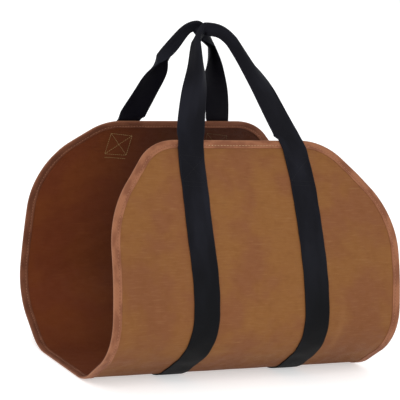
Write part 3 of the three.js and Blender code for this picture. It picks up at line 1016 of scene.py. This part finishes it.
def stitches(name, paths, spec, material, paleToneAt=None):
    # a row of small arched threads along each path; a path is its points and the way out of the cloth
    ringCount, ringPoints = 5, 6
    angles = 2 * math.pi * np.arange(ringPoints) / ringPoints
    rise = np.array([-0.9, 0.3, 1, 0.3, -0.9])
    slim = np.array([0.6, 0.95, 1, 0.95, 0.6])
    allPoints, allFaces, start = [], [], 0
    for points, ways in paths:
        length = np.append(0, np.cumsum(np.linalg.norm(np.diff(points, axis=0), axis=1)))
        count = max(int(round(length[-1] / spec["pitch"])), 1)
        pitch = length[-1] / count
        centre = (np.arange(count) + 0.5) * pitch
        at = centre[:, None] + pitch * spec["share"] * np.linspace(-0.5, 0.5, ringCount)[None, :]
        place = np.stack([np.interp(at, length, points[:, i]) for i in range(3)], axis=-1)
        way = unit(np.stack([np.interp(at, length, ways[:, i]) for i in range(3)], axis=-1))
        run = unit(place[:, -1:] - place[:, :1]) + 0 * place
        sideways = unit(np.cross(way, run))
        uneven = 1 + rng.uniform(-0.12, 0.12, (count, 1))
        place = place + way * (rise[None, :] * spec["rise"] * uneven)[..., None]
        radius = spec["radius"] * slim
        ring = (place[:, :, None, :]
                + sideways[:, :, None, :] * (radius[None, :, None] * np.cos(angles)[None, None, :])[..., None]
                + way[:, :, None, :] * (radius[None, :, None] * np.sin(angles)[None, None, :])[..., None])
        allPoints.append(ring.reshape(-1, 3))
        perStitch = ringCount * ringPoints
        for s in range(count):
            base = start + s * perStitch
            for k in range(ringCount - 1):
                for i in range(ringPoints):
                    j = (i + 1) % ringPoints
                    a, b = base + k * ringPoints, base + (k + 1) * ringPoints
                    allFaces.append((a + i, a + j, b + j, b + i))
            allFaces.append(tuple(base + i for i in reversed(range(ringPoints))))
            allFaces.append(tuple(base + perStitch - ringPoints + i for i in range(ringPoints)))
        start += count * perStitch
    points = np.vstack(allPoints)
    mesh = bpy.data.meshes.new(name)
    mesh.from_pydata(points.tolist(), [], allFaces)
    layer = mesh.uv_layers.new(name="flat")
    vertexOf = np.zeros(len(mesh.loops), np.int32)
    mesh.loops.foreach_get("vertex_index", vertexOf)
    flat = np.stack([points[vertexOf, 0] + points[vertexOf, 2], points[vertexOf, 1]], 1)
    layer.data.foreach_set("uv", flat.astype(np.float32).ravel())
    mesh.polygons.foreach_set("use_smooth", np.ones(len(mesh.polygons), bool))
    mesh.materials.append(material)
    mesh.update()
    piece = addObject(name, mesh)
    if paleToneAt:
        addAttribute(piece, "paleTone", paleToneAt(points))
    return piece


def paleStretch(points):
    # paler thread along part of the front top edge
    x, y, z = points.T
    start, end = sewing["paleFromTo"]
    inside = smooth(x, start - 5 * mm, start + 5 * mm) * (1 - smooth(x, end - sewing["paleFade"], end))
    return inside * (y < 0) * smooth(z, panelHeight - 25 * mm, panelHeight - 15 * mm)


def boxThreadLighting(points):
    # painted light and shade on the boxes' thread: paler towards the left open end, darker towards the middle
    # and right, with the inside's painted shade
    return 1 - smooth(points[:, 0], -sewing["boxLitReach"], sewing["boxLitReach"])


def tapeSeamPaths():
    flat, way = edgeLoop(1.3 * mm)
    seam = flat - way * edgeTape["seamIn"]
    seam = np.vstack([seam, seam[:1]])
    point, face = clothFrame(seam[:, 0], seam[:, 1])
    height = edgeTape["clothHalf"] + edgeTape["gap"] + edgeTape["thickness"] - 0.25 * mm
    return [(point + face * height, face), (point - face * height, -face)]


def boxLines(side, leg):
    # the sewn box with a cross, as lines on the flat sheet
    top = sewing["boxTop"]
    low = top + sewing["boxHeight"]
    second = low + sewing["boxSecondLine"]
    half = sewing["boxWidth"] / 2

    def at(across, girth):
        lessened = 1 - 0.4 * min((girth - top) / (low - top), 1)
        girth = girth + sewing["boxSkew"] * across / sewing["boxWidth"] * lessened
        along = girth if side < 0 else fullGirth - girth
        return np.array([float(strapRun(leg, girth)[0]) + across, along])

    corners = [at(-half, top), at(half, top), at(half, low), at(-half, low)]
    lines = [(corners[i], corners[(i + 1) % 4]) for i in range(4)]
    lines += [(corners[0], corners[2]), (corners[1], corners[3])]
    lines += [(at(-half, second), at(half, second))]
    return lines


def boxPaths(outside):
    paths = []
    for side in (-1, 1):
        for leg in (-1, 1):
            for first, last in boxLines(side, leg):
                t = np.linspace(0, 1, 24)[:, None]
                flat = first + (last - first) * t
                point, face = clothFrame(flat[:, 0], flat[:, 1])
                girth = np.minimum(flat[:, 1], fullGirth - flat[:, 1])
                if outside:
                    height = strapStandOff(girth) + webbing["thickness"] / 2 - 0.12 * mm
                    paths.append((point + face * height[:, None], face))
                else:
                    height = canvasSheet["thickness"] / 2 + 0.02 * mm
                    paths.append((point - face * height, -face))
    return paths


canvas = makeCanvas()
print("canvas made")
tape = makeBinding()
print("binding made")
strapFront, frontLength = makeStrap("webbing_front", -1, handles["front"])
strapBack, backLength = makeStrap("webbing_back", 1, handles["back"])
print("straps made, metres of webbing:", round(frontLength, 3), round(backLength, 3))
tapeThread = stitches("thread_tape", tapeSeamPaths(), sewing["tapeStitch"], materials["paleThread"],
                      paleStretch)
boxThreadInside = stitches("thread_boxes_inside", boxPaths(False), sewing["boxStitch"],
                           materials["beigeThread"], boxThreadLighting)
boxThreadOutside = stitches("thread_boxes_outside", boxPaths(True), sewing["outerStitch"],
                            materials["blackThread"])
print("thread sewn")

for piece, slot in ((canvas, "canvas"), (tape, "binding"), (strapFront, "webbing"), (strapBack, "webbing"),
                    (tapeThread, "binding"), (boxThreadInside, "canvas"), (boxThreadOutside, "webbing")):
    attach(piece, "root")
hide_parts("canvas_body")
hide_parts("edge_binding")
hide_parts("handle_strap_front")
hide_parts("handle_strap_back")

# Floor, light and camera
studio = {
    "floorSize": 30,
    "floorColour": (0.8, 0.8, 0.8, 1),
    "floorGlow": 0.5,            # lifts the floor to the white of the backdrop
    "backdrop": (1, 1, 1, 1),
    "backdropStrength": 1.05,
    "skyColour": (1, 1, 1, 1),
    "skyStrength": 0.85,
    "keyPlace": (-1.6, -2.4, 2.2),
    "keySize": 1.8,
    "keyPower": 36,
    "fillPlace": (2.2, -1.8, 1.2),
    "fillSize": 2.0,
    "fillPower": 12,
    "aim": (0, 0, 0.25),
}


def makeFloor():
    half = studio["floorSize"] / 2
    mesh = bpy.data.meshes.new("floor")
    corners = [(-half, -half, 0), (half, -half, 0), (half, half, 0), (-half, half, 0)]
    mesh.from_pydata(corners, [], [(0, 1, 2, 3)])
    n = Nodes("paleFloor")
    speck = n.noise(n.add("TexCoord").outputs["Object"], 3, 2, 0.5)
    r, g, b, a = studio["floorColour"]
    colour = n.mix(n.spread(speck, 0.3, 0.7), studio["floorColour"], (r * 0.99, g * 0.99, b * 0.985, a))
    n.finish(colour, 0.9, 0.1)
    n.feed(n.surface, "Emission Color", (1, 1, 1, 1))
    n.feed(n.surface, "Emission Strength", studio["floorGlow"])
    mesh.materials.append(n.material)
    floor = addObject("floor", mesh)


def areaLight(name, place, size, power):
    data = bpy.data.lights.new(name, "AREA")
    data.size = size
    data.energy = power
    light = addObject(name, data)
    light.location = place
    way = Vector(studio["aim"]) - Vector(place)
    light.rotation_mode = "QUATERNION"
    light.rotation_quaternion = way.to_track_quat("-Z", "Y")


def makeSky():
    world = bpy.data.worlds.new("studio")
    world.use_nodes = True
    # the camera sees a white backdrop, the light that falls from it is softer
    tree = world.node_tree
    light = tree.nodes["Background"]
    light.inputs["Color"].default_value = studio["skyColour"]
    light.inputs["Strength"].default_value = studio["skyStrength"]
    seen = tree.nodes.new("ShaderNodeBackground")
    seen.inputs["Color"].default_value = studio["backdrop"]
    seen.inputs["Strength"].default_value = studio["backdropStrength"]
    ray = tree.nodes.new("ShaderNodeLightPath")
    both = tree.nodes.new("ShaderNodeMixShader")
    tree.links.new(ray.outputs["Is Camera Ray"], both.inputs[0])
    tree.links.new(light.outputs[0], both.inputs[1])
    tree.links.new(seen.outputs[0], both.inputs[2])
    tree.links.new(both.outputs[0], tree.nodes["World Output"].inputs["Surface"])
    bpy.context.scene.world = world


# The photograph's point of view
viewpoint = {
    "azimuth": -26.29,
    "elevation": 8.72,
    "roll": 3.78,
    "distance": 2.5664,
    "aim": (-0.01867, 0, 0.25701),
    "lens": 146.14,
}


def makeCamera():
    azimuth, elevation, roll = (math.radians(viewpoint[key]) for key in ("azimuth", "elevation", "roll"))
    back = Vector((math.sin(azimuth) * math.cos(elevation), -math.cos(azimuth) * math.cos(elevation),
                   math.sin(elevation)))
    right = Vector((math.cos(azimuth), math.sin(azimuth), 0))
    up = back.cross(right)
    rolledRight = right * math.cos(roll) + up * math.sin(roll)
    rolledUp = up * math.cos(roll) - right * math.sin(roll)
    data = bpy.data.cameras.new("camera")
    data.lens = viewpoint["lens"]
    data.clip_end = 60
    camera = addObject("camera", data)
    place = Vector(viewpoint["aim"]) + back * viewpoint["distance"]
    turn = Matrix((rolledRight, rolledUp, back)).transposed().to_4x4()
    camera.matrix_world = Matrix.Translation(place) @ turn
    bpy.context.scene.camera = camera


makeFloor()
areaLight("keyLight", studio["keyPlace"], studio["keySize"], studio["keyPower"])
areaLight("fillLight", studio["fillPlace"], studio["fillSize"], studio["fillPower"])
makeSky()
makeCamera()
bpy.context.scene.view_settings.view_transform = "Standard"
print("stage set")
